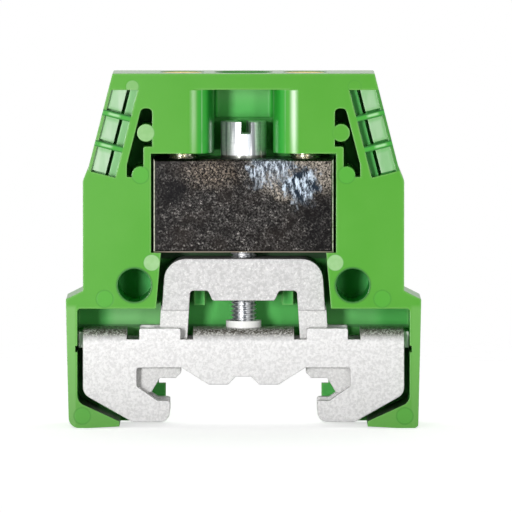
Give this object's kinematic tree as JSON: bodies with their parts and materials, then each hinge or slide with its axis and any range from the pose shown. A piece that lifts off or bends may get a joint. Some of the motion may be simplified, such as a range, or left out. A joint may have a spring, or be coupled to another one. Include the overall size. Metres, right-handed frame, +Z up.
{
  "type": "earth terminal block",
  "caption": "Earth terminal block that clamps onto a mounting rail and joins two wires to it: moulded housing, metal body, slotted screws, yoke and hooked sheet foot.",
  "frame": {"origin": "middle of the footprint, on the surface that the housing's pads stand on", "axes": "+Z up, +X along the wire path to the right, +Y along the rail, away from the open side"},
  "size_m": [0.0684, 0.016, 0.0683],
  "materials": {
    "green_moulding": "moulded, satin",
    "nickel_plate": "bright nickel plate",
    "yellow_zinc": "yellow passivated zinc",
    "bright_zinc": "bright zinc",
    "matte_zinc": "matte zinc"
  },
  "bodies": {
    "base": {"housing": "green_moulding", "terminal_body": "nickel_plate", "clamp_yoke": "matte_zinc"},
    "rail_screw": {"rail_screw": "bright_zinc"},
    "foot": {"rail_foot": "matte_zinc"},
    "clamp_left": {"clamp_screw_left": "yellow_zinc"},
    "clamp_right": {"clamp_screw_right": "yellow_zinc"}
  },
  "joints": [
    {"name": "rail_screw_turn", "type": "hinge", "parent": "base", "child": "rail_screw", "pos_m": [0, 0, 0.04], "axis": [0, 0, -1], "range_deg": [0, 1440]},
    {"name": "foot_slide", "type": "slide", "parent": "base", "child": "foot", "axis": [0, 0, 1], "range_m": [0, 0.0032]},
    {"name": "clamp_left_travel", "type": "slide", "parent": "base", "child": "clamp_left", "axis": [0, 0, -1], "range_m": [0, 0.008]},
    {"name": "clamp_right_travel", "type": "slide", "parent": "base", "child": "clamp_right", "axis": [0, 0, -1], "range_m": [0, 0.008]}
  ],
  "couplings": [
    {"joint": "rail_screw_turn", "follows": "foot_slide", "rad_per_m": 7853}
  ]
}
